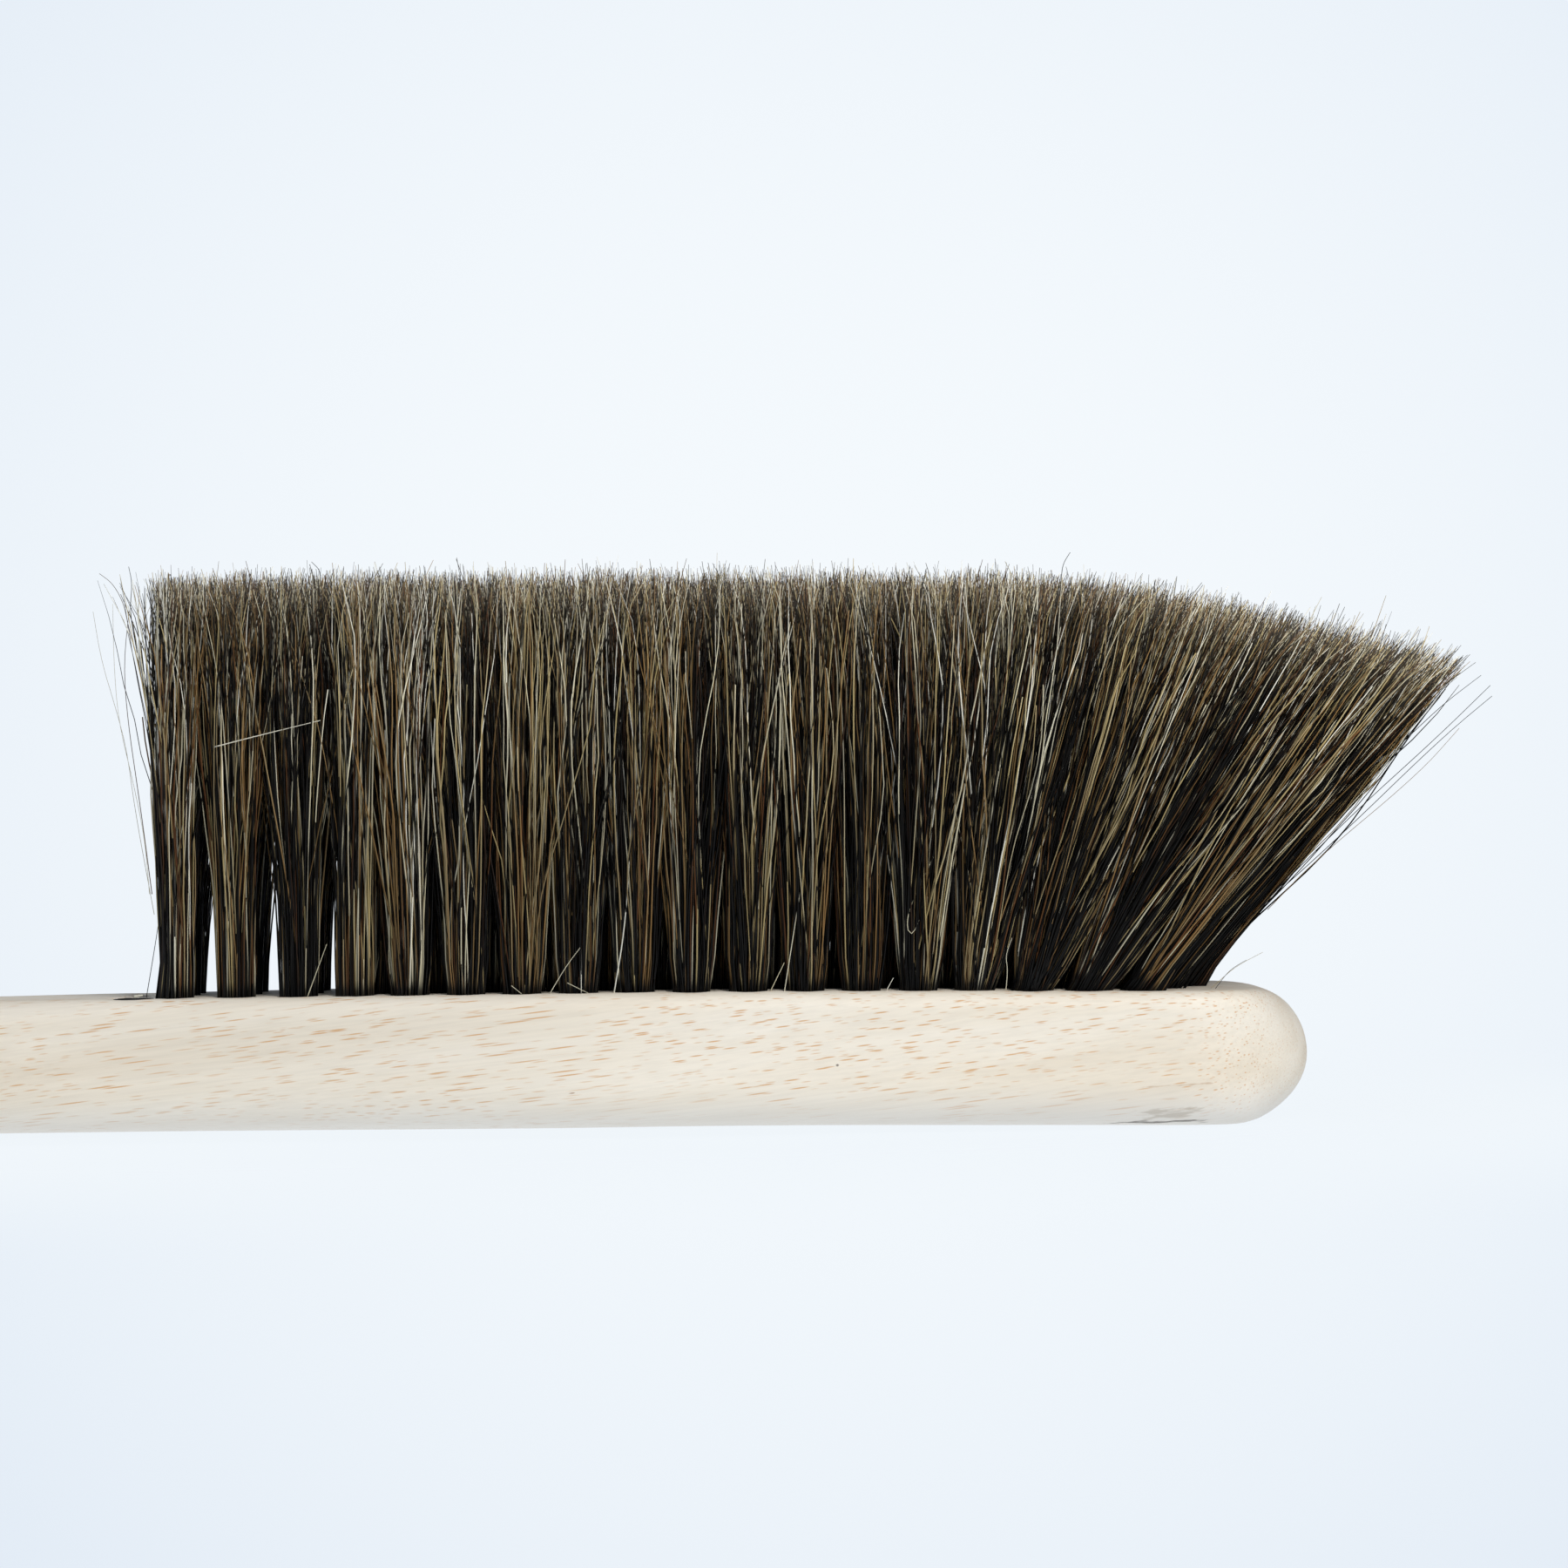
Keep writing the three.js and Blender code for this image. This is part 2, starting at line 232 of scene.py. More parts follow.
def new_material(name):
    material = bpy.data.materials.new(name)
    material.use_nodes = True
    tree = material.node_tree
    return material, tree, tree.nodes["Principled BSDF"]


def add_node(tree, kind, **values):
    node = tree.nodes.new(kind)
    for key, value in values.items():
        setattr(node, key, value)
    return node


def maths(tree, operation, first, second=None):
    node = add_node(tree, "ShaderNodeMath", operation=operation)
    for socket, value in zip(node.inputs, (first, second)):
        if value is None:
            continue
        if isinstance(value, (int, float)):
            socket.default_value = value
        else:
            tree.links.new(value, socket)
    return node.outputs[0]


def srgb(red, green, blue):
    """An 8-bit display colour as linear RGBA."""
    def linear(value):
        value /= 255
        return value / 12.92 if value <= 0.04045 else ((value + 0.055) / 1.055) ** 2.4
    return (linear(red), linear(green), linear(blue), 1.0)


def ramp(tree, factor, stops, interpolation="LINEAR"):
    node = add_node(tree, "ShaderNodeValToRGB")
    node.color_ramp.interpolation = interpolation
    elements = node.color_ramp.elements
    while len(elements) < len(stops):
        elements.new(0.5)
    for element, (position, colour) in zip(elements, stops):
        element.position = position
        element.color = colour
    tree.links.new(factor, node.inputs[0])
    return node.outputs[0]


def grey(value):
    return (value, value, value, 1.0)


def mix(tree, factor, first, second, blend="MIX"):
    node = add_node(tree, "ShaderNodeMix", data_type="RGBA", blend_type=blend)
    for socket, value in zip((node.inputs[0], node.inputs[6], node.inputs[7]), (factor, first, second)):
        if isinstance(value, bpy.types.NodeSocket):
            tree.links.new(value, socket)
        else:
            socket.default_value = value
    return node.outputs[2]


def make_object(name, mesh, material):
    mesh.materials.clear()
    mesh.materials.append(material)
    made = bpy.data.objects.new(name, mesh)
    bpy.context.scene.collection.objects.link(made)
    return made


# ---------------------------------------------------------------- materials

def hair_material():
    """Hair colour comes from the hair's own strip: tone across it and height along it."""
    material, tree, shader = new_material("brush_hair")
    strip = add_node(tree, "ShaderNodeUVMap", uv_map="OFBake")
    parts = add_node(tree, "ShaderNodeSeparateXYZ")
    tree.links.new(strip.outputs[0], parts.inputs[0])
    step = maths(tree, "SNAP", parts.outputs[0], 1 / TONE_BINS)
    bleached = maths(tree, "MULTIPLY", parts.outputs[1], BLEACHING)
    tone = maths(tree, "ADD", maths(tree, "ADD", step, 0.5 / TONE_BINS), bleached)
    colour = ramp(tree, tone, [(at, srgb(*rgb)) for at, rgb in HAIR_PALETTE])
    shade = ramp(tree, parts.outputs[1], [(at, grey(value)) for at, value in HAIR_SHADE])
    colour = mix(tree, 1.0, colour, shade, "MULTIPLY")
    tip = ramp(tree, parts.outputs[1], ((0.80, grey(0.0)), (1.0, grey(0.15))))
    colour = mix(tree, tip, colour, srgb(*TIP_COLOUR))
    tree.links.new(colour, shader.inputs["Base Color"])
    shader.inputs["Roughness"].default_value = 0.38
    shader.inputs["Specular IOR Level"].default_value = 0.26
    return material


def grain_coordinates(tree, tilt, stretch):
    """Object coordinates turned to the grain and stretched along it."""
    place = add_node(tree, "ShaderNodeTexCoord")
    turn = add_node(tree, "ShaderNodeMapping")
    turn.inputs["Rotation"].default_value = (0.03, math.radians(tilt), 0.09)
    tree.links.new(place.outputs["Object"], turn.inputs[0])
    scale = add_node(tree, "ShaderNodeMapping")
    scale.inputs["Scale"].default_value = stretch
    tree.links.new(turn.outputs[0], scale.inputs[0])
    return scale.outputs[0]


def noise(tree, vector, scale, detail=2.0, roughness=0.5):
    node = add_node(tree, "ShaderNodeTexNoise")
    node.inputs["Scale"].default_value = scale
    node.inputs["Detail"].default_value = detail
    node.inputs["Roughness"].default_value = roughness
    tree.links.new(vector, node.inputs["Vector"])
    return node.outputs[0]


def pores(tree, vector, thin, wide):
    """Short vessels along the grain: 1 inside a vessel, 0 outside."""
    cell = add_node(tree, "ShaderNodeTexVoronoi", feature="F1")
    cell.inputs["Scale"].default_value = 1.0
    tree.links.new(vector, cell.inputs["Vector"])
    return ramp(tree, cell.outputs["Distance"], ((thin, grey(1.0)), (wide, grey(0.0))))


def reach_from(tree, centre, half_sizes, slope=0):
    """How far a point is from the centre of a mark: 1 at the edge of the mark."""
    here = add_node(tree, "ShaderNodeMapping", vector_type="TEXTURE")
    here.inputs["Location"].default_value = centre
    here.inputs["Rotation"].default_value = (0, -math.radians(slope), 0)
    here.inputs["Scale"].default_value = [size * MM for size in half_sizes]
    place = add_node(tree, "ShaderNodeTexCoord")
    tree.links.new(place.outputs["Object"], here.inputs[0])
    reach = add_node(tree, "ShaderNodeVectorMath", operation="LENGTH")
    tree.links.new(here.outputs[0], reach.inputs[0])
    return reach.outputs["Value"]


def painted_bounce_light(tree, colour):
    """Painted bounce light: the edge along the back is painted paler, as if lit from the white floor below.
    """
    place = add_node(tree, "ShaderNodeTexCoord")
    parts = add_node(tree, "ShaderNodeSeparateXYZ")
    tree.links.new(place.outputs["Object"], parts.inputs[0])
    low = add_node(tree, "ShaderNodeMapRange", interpolation_type="SMOOTHSTEP")
    tree.links.new(parts.outputs[2], low.inputs["Value"])
    low.inputs["From Min"].default_value = PAINTED_BOUNCE[1]
    low.inputs["From Max"].default_value = PAINTED_BOUNCE[0]
    low.inputs["To Max"].default_value = PAINTED_BOUNCE_STRENGTH
    return mix(tree, low.outputs[0], colour, srgb(229, 226, 222))


def wood_marks(tree, colour):
    """The small marks of WOOD_MARKS, ragged at their edges."""
    speckle = noise(tree, grain_coordinates(tree, 4, (300, 1300, 1300)), 1.0, 3.0)
    ragged = maths(tree, "MULTIPLY", maths(tree, "SUBTRACT", speckle, 0.5), 3.5)
    for mark_along, height, half_length, half_height, slope, strength, rgb in WOOD_MARKS:
        centre = view_point(mark_along * MM, height * MM) - Vector((0, NEAR_SIDE, 0))
        reach = reach_from(tree, centre, (half_length, MARK_DEPTH, half_height), slope)
        rubbed = maths(tree, "ADD", reach, ragged)
        inside = ramp(tree, rubbed, ((0.45, grey(strength)), (1.0, grey(0.0))))
        colour = mix(tree, inside, colour, srgb(*rgb))
    return colour


def painted_hole_shade(tree, colour, holes):
    """Painted shade: the empty holes are painted dark inside, up to their rims."""
    for hole in holes:
        reach = reach_from(tree, hole, HOLE_SHADE)
        inside = ramp(tree, reach, ((0.98, grey(1.0)), (1.0, grey(0.0))))
        colour = mix(tree, inside, colour, srgb(14, 10, 7))
    return colour


def wood_material(holes):
    """Pale straight-grained hardwood, sanded and unvarnished, with painted shade in the empty holes."""
    material, tree, shader = new_material("pale_wood")
    broad = noise(tree, grain_coordinates(tree, 5, (7, 150, 150)), 1.0, 3.0)
    tones = ((0.30, srgb(220, 208, 189)), (0.50, srgb(228, 218, 201)), (0.72, srgb(233, 225, 211)))
    colour = ramp(tree, broad, tones)
    fibre = noise(tree, grain_coordinates(tree, 6, (45, 2400, 2400)), 1.0, 3.0, 0.6)
    colour = mix(tree, 1.0, colour, ramp(tree, fibre, ((0.3, grey(0.93)), (0.6, grey(1.0)))), "MULTIPLY")
    patch = noise(tree, grain_coordinates(tree, 6, (18, 90, 90)), 1.0, 1.0)
    where = ramp(tree, patch, ((0.34, grey(0.25)), (0.54, grey(0.95))))
    long_ones = pores(tree, grain_coordinates(tree, 6, (85, 2200, 2200)), 0.13, 0.27)
    short_ones = pores(tree, grain_coordinates(tree, 5, (180, 2500, 2500)), 0.12, 0.24)
    dash = maths(tree, "MAXIMUM", long_ones, maths(tree, "MULTIPLY", short_ones, 0.6))
    amount = maths(tree, "MULTIPLY", dash, where)
    colour = mix(tree, amount, colour, srgb(205, 160, 112))
    # painted bounce light: the lower edge is painted paler
    colour = painted_bounce_light(tree, colour)
    colour = wood_marks(tree, colour)
    # painted shade inside the empty holes
    colour = painted_hole_shade(tree, colour, holes)
    tree.links.new(colour, shader.inputs["Base Color"])
    rough = ramp(tree, fibre, ((0.3, grey(0.62)), (0.7, grey(0.5))))
    tree.links.new(rough, shader.inputs["Roughness"])
    height = maths(tree, "SUBTRACT", fibre, maths(tree, "MULTIPLY", amount, 2.0))
    bump = add_node(tree, "ShaderNodeBump")
    bump.inputs["Strength"].default_value = 0.25
    bump.inputs["Distance"].default_value = 0.05 * MM
    tree.links.new(height, bump.inputs["Height"])
    tree.links.new(bump.outputs[0], shader.inputs["Normal"])
    return material


def steel_material():
    """Drawn staple wire with fine scratches along it."""
    material, tree, shader = new_material("staple_wire")
    scratches = noise(tree, grain_coordinates(tree, 0, (4000, 300, 4000)), 1.0, 2.0)
    colour = ramp(tree, scratches, ((0.3, srgb(150, 150, 152)), (0.7, srgb(205, 205, 208))))
    tree.links.new(colour, shader.inputs["Base Color"])
    shader.inputs["Metallic"].default_value = 1.0
    shader.inputs["Roughness"].default_value = 0.35
    return material


# ---------------------------------------------------------------- wood

def worn_rim(mesh, hole):
    """The near rim of a hole is worn down, so that the inside of the hole shows from the side."""
    points = np.empty(len(mesh.vertices) * 3)
    mesh.vertices.foreach_get("co", points)
    points = points.reshape(-1, 3)
    away = points - np.array(hole)
    reach = np.linalg.norm(away[:, :2], axis=1)
    wear = np.clip((WORN_REACH - reach) / (WORN_REACH - ROOT_RADIUS), 0, 1)
    wear *= np.clip(-away[:, 1] / ROOT_RADIUS, 0, 1) * (away[:, 2] > -2 * WORN_DEPTH)
    points[:, 2] -= WORN_DEPTH * wear
    mesh.vertices.foreach_set("co", points.ravel())


def wooden_block(material, worn_hole):
    """A fine, softly rounded copy of the CAD block."""
    source = frame["nodes"]["wooden_body"]
    rough = bpy.data.objects.new("rough_block", source.data.copy())
    bpy.context.scene.collection.objects.link(rough)
    weld = rough.modifiers.new("weld", "WELD")
    weld.merge_threshold = 0.01 * MM
    remesh = rough.modifiers.new("remesh", "REMESH")
    remesh.mode = "VOXEL"
    remesh.voxel_size = WOOD_VOXEL
    smooth = rough.modifiers.new("smooth", "SMOOTH")
    smooth.factor = 0.5
    smooth.iterations = WOOD_SMOOTHING
    evaluated = rough.evaluated_get(bpy.context.evaluated_depsgraph_get())
    mesh = bpy.data.meshes.new_from_object(evaluated)
    bpy.data.objects.remove(rough)
    worn_rim(mesh, worn_hole)
    mesh.shade_smooth()
    block = make_object("wooden_block", mesh, material)
    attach(block, "root")
    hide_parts("wooden_body")


# ---------------------------------------------------------------- tufts

def tuft_axis(node):
    """Where a CAD tuft leaves the wood, and the middle of its trimmed end."""
    mesh = frame["nodes"][node].data
    points = np.empty(len(mesh.vertices) * 3)
    mesh.vertices.foreach_get("co", points)
    points = np.unique(points.reshape(-1, 3).round(7), axis=0)
    middle = points.mean(axis=0)
    axis = np.linalg.svd(points - middle, full_matrices=False)[2][0]
    axis = axis * np.sign(axis[2])
    height = (points - middle) @ axis
    bottom = points[height < height.min() + 0.1 * MM].mean(axis=0)
    top = points[height > height.max() - 0.1 * MM].mean(axis=0)
    axis = (top - bottom) / np.linalg.norm(top - bottom)
    return bottom + axis * ROOT_DEPTH, top


def cad_row(prefix):
    names = sorted(name for name in frame["nodes"] if name.startswith(prefix))
    return names, [tuft_axis(name) for name in names]


def inner_row(outer, centre):
    """The tufts of a joined inner row stand amid their neighbours, from the fourth column on."""
    beyond = tuple(2 * last - before for before, last in zip(outer[-2], outer[-1]))
    outer = [*outer, beyond]
    places = []
    for column in range(FIRST_INNER_COLUMN, len(centre) - 1):
        around = (outer[column], outer[column + 1], centre[column], centre[column + 1])
        places.append(tuple(np.mean(ends, axis=0) for ends in zip(*around)))
    return places


def empty_holes(rows):
    """One drilled column holds no tufts: it stands just before the first tufts of three rows."""
    firsts = [(places[0][0], places[1][0]) for name, places in rows.items() if "inner" not in name]
    return [Vector(root + EMPTY_COLUMN * (root - after)) for root, after in firsts]


def disc(count):
    """Even random points in the unit disc."""
    turn = rng.uniform(0, 2 * np.pi, count)
    radius = np.sqrt(rng.uniform(0, 1, count))
    return np.stack([radius * np.cos(turn), radius * np.sin(turn)], axis=1)


def unit(vectors):
    return vectors / np.linalg.norm(vectors, axis=-1, keepdims=True)


def trim_steps(row, index):
    """The way from this tuft's tip towards the next tip behind it and in front of it."""
    steps = [after[1] - before[1] for before, after in zip(row, row[1:])]
    behind = steps[max(index - 1, 0)]
    ahead = steps[min(index, len(steps) - 1)]
    if index == 0:
        behind = FIRST_BULGE * unit(behind)
    if index == len(row) - 1:
        ahead = LAST_REACH * TRIM_SPAN * unit(ahead)
    return behind, ahead


def sideways(offsets, across):
    """Offsets along the row and across it, as vectors square to the tuft."""
    first, second = across
    return offsets[..., :1] * first + offsets[..., 1:] * second


def clumped(own):
    """The clump of each hair, and where the hair ends, as a share of the tuft's spread.

    Each hair belongs to a clump that starts beside it, and hairs of a clump meet near the trim.
    """
    clumps = disc(CLUMPS)
    apart = (own + rng.normal(0, CLUMP_OVERLAP, own.shape))[:, None] - clumps
    clump_of = np.argmin(np.linalg.norm(apart, axis=2), axis=1)
    met = OWN_PULL * own + CLUMP_PULL * clumps[clump_of] + rng.normal(0, END_SCATTER, own.shape)
    crossing = rng.uniform(size=(len(own), 1)) < CROSSING_SHARE
    return clump_of, np.where(crossing, CROSSING_REACH * disc(len(own)), met)


def hair_ends(tip, axis, share, clump_of, steps):
    """Where the hairs would end if none were broken."""
    behind, ahead = steps
    end = tip + ROW_REACH * share[:, :1] * np.where(share[:, :1] > 0, ahead, behind)
    end += SIDE_REACH * share[:, 1:] * np.array([0.0, 1.0, 0.0])
    level = rng.normal(TRIM_LEVEL, TRIM_SCATTER, len(share))
    level += rng.normal(0, CLUMP_SCATTER, CLUMPS)[clump_of]
    end += axis * level[:, None]
    return end


def tuft_bulge(own, index, last, open_gaps):
    """How far each hair stands out just above the wood."""
    bulge = np.full((len(own), 1), OPEN_BULGE if index < open_gaps else BASE_BULGE)
    if index == 0:
        bulge[own[:, 0] < 0] = END_BULGE
    if index == last:
        bulge[own[:, 0] > 0] = END_BULGE
    return bulge


def bend_hairs(line, height, clump_of, leaning, length, across, at_end):
    """Add bows, waves, kinks and curled tips to the lines. In the last tuft kinks only lean back."""
    count = len(line)
    clump_bow = rng.normal(0, CLUMP_BOW + LEANING_BOW * leaning, (CLUMPS, 2))[clump_of]
    bow = sideways((rng.normal(0, HAIR_BOW, (count, 2)) + clump_bow) * MM, across)
    line += bow[:, None, :] * np.sin(np.pi * height) * height
    for size, slowest, fastest in WAVES:
        wave = sideways(rng.normal(0, size, (count, 2)), across)
        phase = rng.uniform(0, 2 * np.pi, (count, 1, 1))
        turns = rng.uniform(slowest, fastest, (count, 1, 1))
        line += wave[:, None, :] * (np.sin(2 * np.pi * turns * height + phase) - np.sin(phase)) * height
    bent = rng.uniform(size=(count, 1)) < BENT_SHARE
    slopes = rng.normal(0, BEND_SLOPE, (count, 2))
    slopes = np.clip(slopes, -STEEPEST_BEND, STEEPEST_BEND) * BEND_DIRECTIONS
    if at_end:
        slopes[:, 0] = -np.abs(slopes[:, 0])
    bend_at = rng.uniform(*BEND_HEIGHTS, (count, 1, 1))
    line += sideways(bent * slopes * length, across)[:, None, :] * np.maximum(height - bend_at, 0)
    curl = sideways(rng.normal(0, TIP_CURL, (count, 2)), across)
    line += curl[:, None, :] * np.maximum(height - (1 - CURLED_END), 0) ** 2 / CURLED_END ** 2


def tuft_hairs(row, index, count, open_gaps=0):
    """Centrelines, radii, heights and tones of the hairs of one tuft.

    The first tufts, up to open_gaps, spread so late that light shows between their roots.
    """
    root, tip = row[index]
    last = len(row) - 1
    steps = trim_steps(row, index)
    room = sum(np.linalg.norm(step) for step in steps) / 2
    count = int(count * max(room / TRIM_SPAN, 1.0))
    length = np.linalg.norm(tip - root)
    axis = (tip - root) / length
    first = unit(np.cross([0.0, 1.0, 0.0], axis))
    across = (first, np.cross(axis, first))

    own = disc(count)
    clump_of, share = clumped(own)
    start = root + sideways(ROOT_RADIUS * own, across)
    end = hair_ends(tip, axis, share, clump_of, steps)
    broken = rng.uniform(size=count) < BROKEN_SHARE
    cut = np.where(broken, rng.uniform(*BROKEN_HEIGHTS, count), 1.0)

    height = np.linspace(0, 1, HAIR_RINGS - 1)[None, :, None] * cut[:, None, None]
    span = (end - start)[:, None, :]
    rise = (span @ axis)[..., None] * axis
    flare = 1 - (1 - height) ** FLARE_POWER
    if index < open_gaps:
        flare = height ** GAP_POWER
    line = start[:, None, :] + rise * height + (span - rise) * flare
    bulge = sideways(tuft_bulge(own, index, last, open_gaps) * own, across)
    line += bulge[:, None, :] * np.minimum(height / BULGE_START, 1) * (1 - height)
    leaning = max(axis[0], 0) if index < last else 0
    bend_hairs(line, height, clump_of, leaning, length, across, index == last)

    buried = start - axis * HAIR_START
    line = np.concatenate([buried[:, None, :], line], axis=1)
    height = np.concatenate([np.zeros((count, 1)), height[:, :, 0]], axis=1)
    thick = rng.uniform(*HAIR_RADII, count) * MM
    radius = thick[:, None] * (1 - HAIR_TAPER * height ** 4)
    return line, radius, height, hair_tones(count, clump_of)


def hair_tones(count, clump_of):
    """Palette positions: each clump has a favourite tone, so the tuft is streaky."""
    favourite = rng.choice(TONES, CLUMPS, p=CLUMP_SHARES)[clump_of]
    own = rng.choice(TONES, count, p=TONE_SHARES)
    tones = np.where(rng.uniform(size=count) < FAVOURITE_SHARE, favourite, own)
    tones += rng.normal(0, TUFT_TONE_SCATTER) + rng.normal(0, HAIR_TONE_SCATTER, count)
    return np.clip(tones, 0.01, 0.99)


def strip_uvs(height, tone):
    """Each hair's sides and ends lie on a narrow strip of its tone bin, with its height upwards."""
    count, rings = height.shape
    bin_at = np.floor(tone * TONE_BINS)[:, None, None] / TONE_BINS
    shape = (count, rings - 1, HAIR_SIDES)
    left, right = (np.broadcast_to(bin_at + edge / TONE_BINS, shape) for edge in STRIP)
    lower = np.broadcast_to(height[:, :-1, None], shape)
    upper = np.broadcast_to(height[:, 1:, None], shape)
    quad_uv = np.stack([left, lower, right, lower, right, upper, left, upper], axis=-1).reshape(-1, 2)
    cap_u = np.stack([left[:, 0, 0], right[:, 0, 0], right[:, 0, 0]], axis=-1)
    cap_v = np.broadcast_to(np.array([0.0, 0.0, CAP_HEIGHT]), (count, 3))
    end_v = height[:, -1:] - np.array([[CAP_HEIGHT, CAP_HEIGHT, 0.0]])
    cap_uv = np.stack([cap_u, cap_v], axis=-1).reshape(-1, 2)
    end_uv = np.stack([cap_u, end_v], axis=-1).reshape(-1, 2)
    return np.concatenate([quad_uv, cap_uv, end_uv])


def tube_mesh(name, line, radius, height, tone):
    """One closed tube for each hair, with its tone and height as its UV strip."""
    count, rings, _ = line.shape
    ahead = unit(np.gradient(line, axis=1))
    across = unit(np.cross(ahead, np.array([0.0, 1.0, 0.02])))
    other = np.cross(ahead, across)
    turn = 2 * np.pi * np.arange(HAIR_SIDES) / HAIR_SIDES
    offset = across[:, :, None, :] * np.cos(turn)[:, None] + other[:, :, None, :] * np.sin(turn)[:, None]
    points = line[:, :, None, :] + radius[:, :, None, None] * offset

    base = (np.arange(count) * rings * HAIR_SIDES)[:, None, None]
    ring = (np.arange(rings - 1) * HAIR_SIDES)[None, :, None]
    here = np.arange(HAIR_SIDES)[None, None, :]
    beside = (here + 1) % HAIR_SIDES
    low, low_next = base + ring + here, base + ring + beside
    quads = np.stack([low, low_next, low_next + HAIR_SIDES, low + HAIR_SIDES], axis=-1).reshape(-1, 4)
    last = (rings - 1) * HAIR_SIDES
    caps = base[:, 0] + np.arange(HAIR_SIDES)[None, ::-1]
    ends = base[:, 0] + last + np.arange(HAIR_SIDES)[None, :]

    mesh = bpy.data.meshes.new(name)
    corners = np.concatenate([quads.ravel(), caps.ravel(), ends.ravel()]).astype(np.int32)
    sizes = np.concatenate([np.full(len(quads), 4), np.full(2 * count, HAIR_SIDES)])
    starts = np.concatenate([[0], np.cumsum(sizes)[:-1]]).astype(np.int32)
    mesh.vertices.add(points.size // 3)
    mesh.vertices.foreach_set("co", points.astype(np.float32).ravel())
    mesh.loops.add(len(corners))
    mesh.loops.foreach_set("vertex_index", corners)
    mesh.polygons.add(len(sizes))
    mesh.polygons.foreach_set("loop_start", starts)
    mesh.update(calc_edges=True)
    uv = mesh.uv_layers.new(name="OFBake")
    uv.data.foreach_set("uv", strip_uvs(height, tone).astype(np.float32).ravel())
    mesh.shade_smooth()
    return mesh


def hair_piece(name, hairs, material, node=None):
    """hairs is a list of (line, radius, height, tone) groups that become one piece."""
    joined = [np.concatenate(parts) for parts in zip(*hairs)]
    piece = make_object(name, tube_mesh(name, *joined), material)
    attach(piece, "root")
    if node:
        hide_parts(node)
    return piece


def all_tufts(material):
    rows = {}
    for prefix in ("near", "far", "centre"):
        names, places = cad_row(prefix + "_tuft")
        rows[prefix] = places
        for index, name in enumerate(names):
            hairs = tuft_hairs(places, index, HAIRS, OPEN_GAPS)
            hair_piece(f"hair_{prefix}_{index + 1:02d}", [hairs], material, name)
    for prefix in ("near", "far"):
        places = inner_row(rows[prefix], rows["centre"])
        rows["inner_" + prefix] = places
        hairs = [tuft_hairs(places, index, INNER_HAIRS) for index in range(len(places))]
        hair_piece(f"hair_inner_{prefix}", hairs, material, f"inner_row_{prefix}")
    return rows


# ---------------------------------------------------------------- loose hairs

def smooth_line(points):
    """Corners cut three times, then even stations along the line."""
    line = np.array(points, dtype=float)
    for _ in range(3):
        quarter = 0.75 * line[:-1] + 0.25 * line[1:]
        three_quarters = 0.25 * line[:-1] + 0.75 * line[1:]
        inside = np.stack([quarter, three_quarters], axis=1).reshape(-1, 3)
        line = np.concatenate([line[:1], inside, line[-1:]])
    travelled = np.concatenate([[0], np.cumsum(np.linalg.norm(np.diff(line, axis=0), axis=1))])
    stations = np.linspace(0, travelled[-1], LOOSE_RINGS)
    return np.stack([np.interp(stations, travelled, part) for part in line.T], axis=1)


def loose_hairs(near_row, material):
    """The hairs of LOOSE_HAIRS, measured from the near row, as one piece."""
    roots = np.array([root for root, _ in near_row])
    lines, radii, tones = [], [], []
    for tone, radius, points in LOOSE_HAIRS:
        line = smooth_line(points) * MM
        x = view_point(0, 0).x + line[:, 0]
        y = np.interp(x, roots[:, 0], roots[:, 1]) - line[:, 2]
        z = np.interp(x, roots[:, 0], roots[:, 2]) + line[:, 1]
        lines.append(np.stack([x, y, z], axis=1))
        radii.append(radius * MM * np.linspace(1, LOOSE_TIP, LOOSE_RINGS))
        tones.append(tone)
    height = np.full((len(lines), LOOSE_RINGS), LOOSE_HEIGHT)
    hairs = (np.array(lines), np.array(radii), height, np.array(tones))
    hair_piece("loose_hairs", [hairs], material)


# ---------------------------------------------------------------- wire anchors

def wire_anchors(rows, material):
    """A flat piece of wire across the bottom of each filled hole."""
    for name, places in rows.items():
        mesh = bpy.data.meshes.new("wire_anchors_" + name)
        corners, faces = [], []
        for root, tip in places:
            axis = Vector(unit(tip - root))
            middle = Vector(root) - axis * (ROOT_DEPTH - WIRE_LIFT - WIRE.z / 2)
            turn = Vector((0, 0, 1)).rotation_difference(axis).to_matrix()
            first = len(corners)
            for corner in range(8):
                signs = [1 if corner >> bit & 1 else -1 for bit in range(3)]
                corners.append(middle + turn @ Vector([sign * size / 2 for sign, size in zip(signs, WIRE)]))
            for face in BOX_FACES:
                faces.append([first + corner for corner in face])
        mesh.from_pydata(corners, [], faces)
        piece = make_object("wire_anchors_" + name, mesh, material)
        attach(piece, "root")


# ---------------------------------------------------------------- studio

BACKDROP_MIDDLE = srgb(244, 249, 253)
BACKDROP_EDGE = srgb(227, 236, 246)
SKY = srgb(226, 238, 255)


def backdrop_colour(tree, direction):
    """Brightest straight behind the brush, a little darker all round."""
    facing = add_node(tree, "ShaderNodeVectorMath", operation="DOT_PRODUCT")
    tree.links.new(direction, facing.inputs[0])
    facing.inputs[1].default_value = (0.01, 1, 0.02)
    return ramp(tree, facing.outputs["Value"], ((0.970, BACKDROP_EDGE), (0.999, BACKDROP_MIDDLE)))


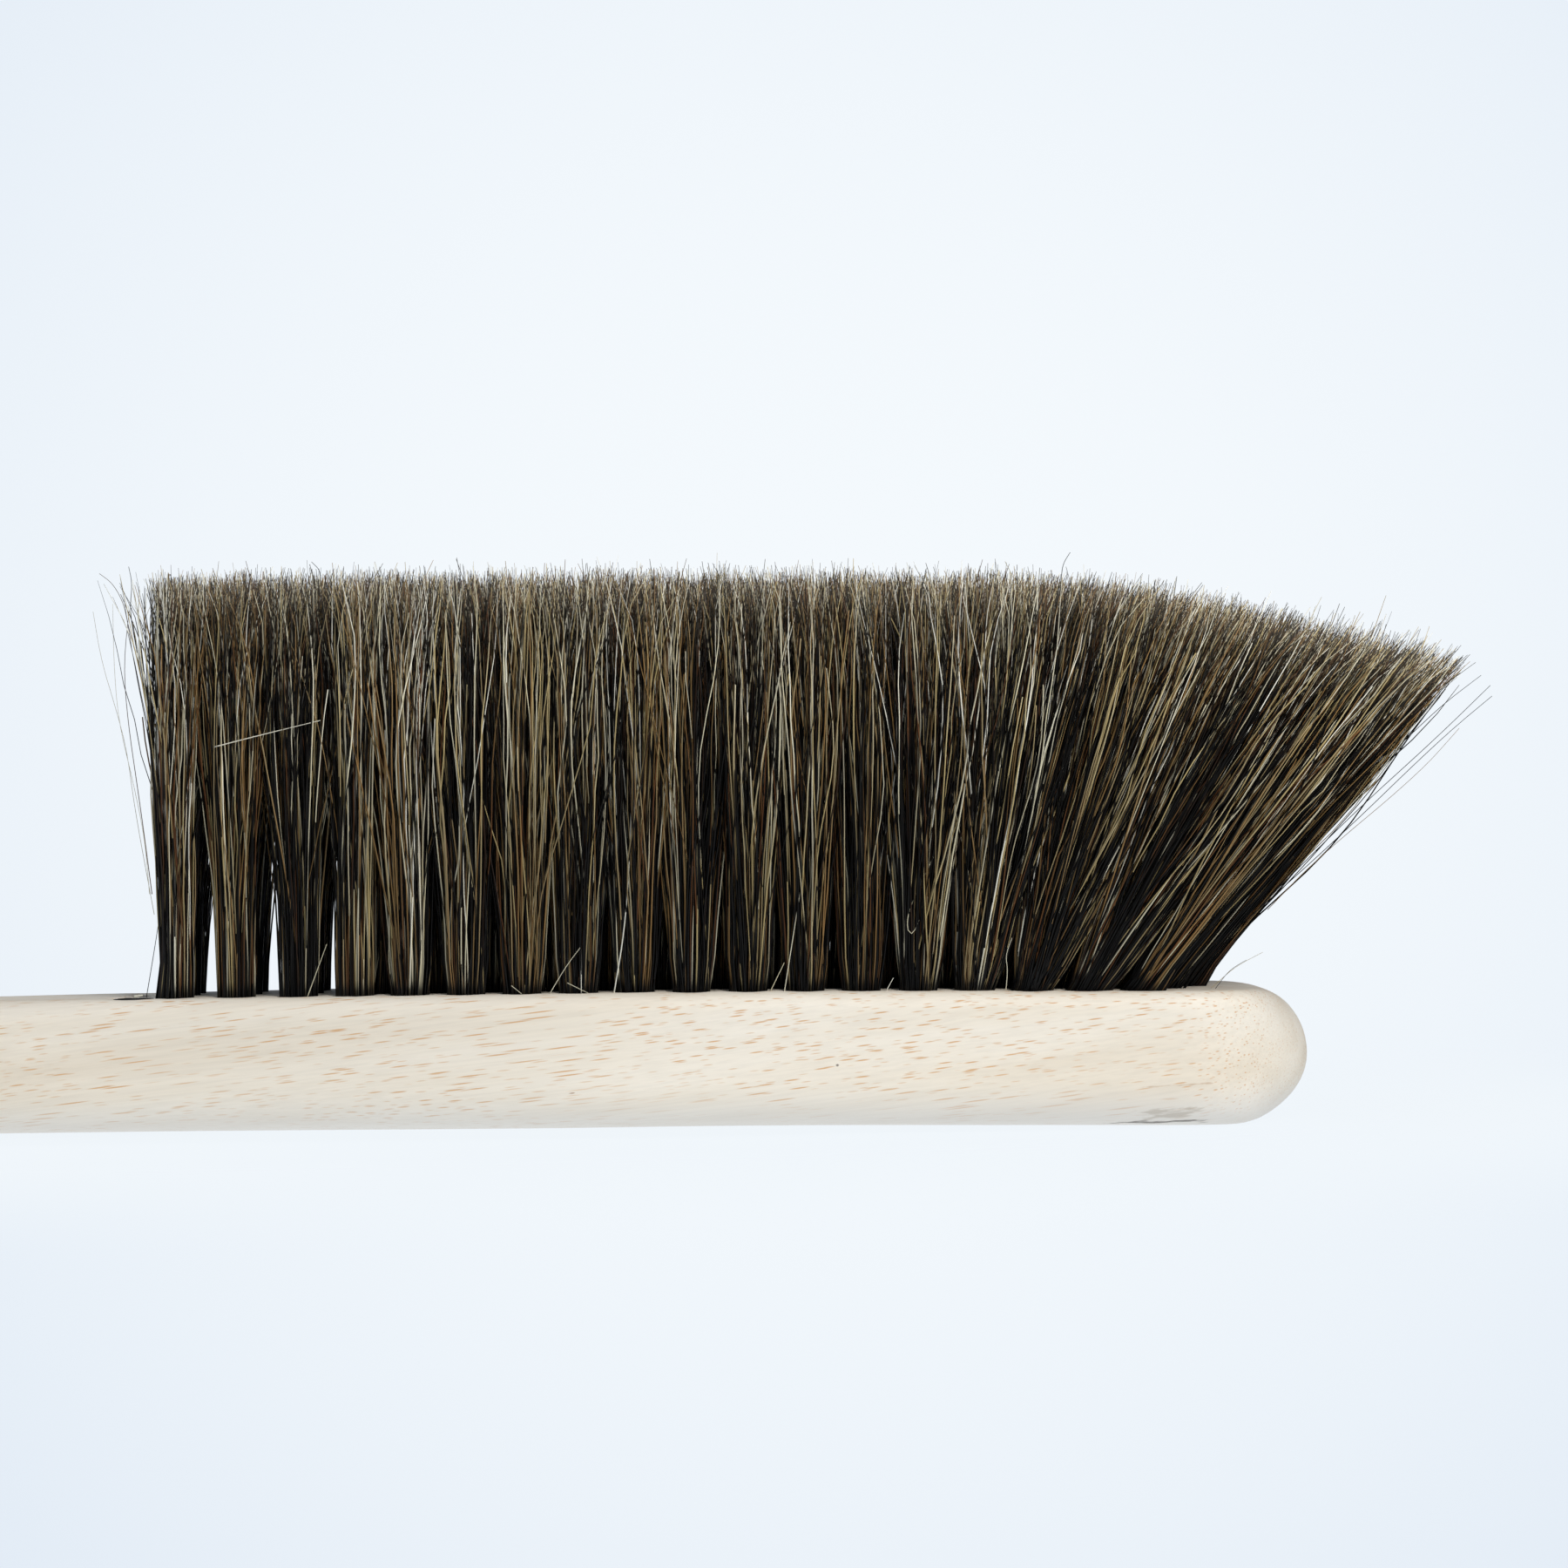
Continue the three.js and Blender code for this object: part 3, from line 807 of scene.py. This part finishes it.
def floor_material():
    """Mostly the backdrop's own light, so that shadows stay faint, and clear further out."""
    material, tree, shader = new_material("pale_floor")
    tree.nodes.remove(shader)
    diffuse = add_node(tree, "ShaderNodeBsdfDiffuse")
    diffuse.inputs["Color"].default_value = grey(0.035)
    glow = add_node(tree, "ShaderNodeEmission")
    glow.inputs["Color"].default_value = srgb(242, 248, 253)
    glow.inputs["Strength"].default_value = FLOOR_GLOW
    both = add_node(tree, "ShaderNodeAddShader")
    tree.links.new(diffuse.outputs[0], both.inputs[0])
    tree.links.new(glow.outputs[0], both.inputs[1])
    place = add_node(tree, "ShaderNodeTexCoord")
    squeeze = add_node(tree, "ShaderNodeMapping")
    squeeze.inputs["Scale"].default_value = FLOOR_SQUEEZE
    tree.links.new(place.outputs["Object"], squeeze.inputs[0])
    reach = add_node(tree, "ShaderNodeVectorMath", operation="LENGTH")
    tree.links.new(squeeze.outputs[0], reach.inputs[0])
    fade = add_node(tree, "ShaderNodeMapRange", interpolation_type="SMOOTHSTEP")
    fade.inputs["From Min"].default_value = FLOOR_FADE[0]
    fade.inputs["From Max"].default_value = FLOOR_FADE[1]
    tree.links.new(reach.outputs["Value"], fade.inputs["Value"])
    clear = add_node(tree, "ShaderNodeBsdfTransparent")
    out = add_node(tree, "ShaderNodeMixShader")
    tree.links.new(fade.outputs[0], out.inputs[0])
    tree.links.new(both.outputs[0], out.inputs[1])
    tree.links.new(clear.outputs[0], out.inputs[2])
    tree.links.new(out.outputs[0], tree.nodes["Material Output"].inputs[0])
    return material


def floor():
    """A round floor just under the brush."""
    mesh = bpy.data.meshes.new("floor")
    turns = [2 * math.pi * step / FLOOR_SIDES for step in range(FLOOR_SIDES)]
    rim = [(FLOOR_RADIUS * math.cos(turn), FLOOR_RADIUS * math.sin(turn), FLOOR_LEVEL) for turn in turns]
    mesh.from_pydata(rim, [], [list(range(FLOOR_SIDES))])
    make_object("floor", mesh, floor_material())


def world():
    """What the camera sees is the backdrop, and what lights the brush is an even sky."""
    made = bpy.data.worlds.new("studio")
    made.use_nodes = True
    tree = made.node_tree
    place = add_node(tree, "ShaderNodeTexCoord")
    seen = backdrop_colour(tree, place.outputs["Generated"])
    path = add_node(tree, "ShaderNodeLightPath")
    dim_sky = tuple(SKY_STRENGTH * part for part in SKY[:3]) + (1.0,)
    colour = mix(tree, path.outputs["Is Camera Ray"], dim_sky, seen)
    tree.links.new(colour, tree.nodes["Background"].inputs["Color"])
    bpy.context.scene.world = made


def soft_light(name, place, size, power, colour=(1, 1, 1)):
    light = bpy.data.lights.new(name, "AREA")
    light.shape = "DISK"
    light.size = size
    light.energy = power
    light.color = colour
    lamp = bpy.data.objects.new(name, light)
    lamp.location = place
    aim = Vector((0.02, 0, 0.03)) - Vector(place)
    lamp.rotation_euler = aim.to_track_quat("-Z", "Y").to_euler()
    bpy.context.scene.collection.objects.link(lamp)


def studio():
    floor()
    world()
    soft_light("key_softbox", (0.34, -0.50, 0.38), 0.4, 3.3, (1.0, 0.98, 0.95))
    soft_light("top_softbox", (0.15, -0.15, 1.0), 0.8, 2.4)
    soft_light("left_fill", (-0.5, -0.9, 0.3), 0.8, 0.7)


def camera():
    """Level with the brush's own plane, at the photographer's distance in front of it."""
    data = bpy.data.cameras.new("camera")
    data.sensor_width = SENSOR
    data.lens = SENSOR * VIEW_DISTANCE / FRAME_WIDTH
    made = bpy.data.objects.new("camera", data)
    target = view_point(0, VIEW_UP)
    away = along.cross(up)
    place = Matrix((along, up, away)).transposed().to_4x4()
    place.translation = target + away * VIEW_DISTANCE
    made.matrix_world = place
    bpy.context.scene.collection.objects.link(made)
    bpy.context.scene.camera = made


# ---------------------------------------------------------------- scene

camera()
hair = hair_material()
rows = all_tufts(hair)
loose_hairs(rows["near"], hair)
holes = empty_holes(rows)
wooden_block(wood_material(holes), holes[0])
wire_anchors(rows, steel_material())
studio()
bpy.context.scene.view_settings.view_transform = "Standard"
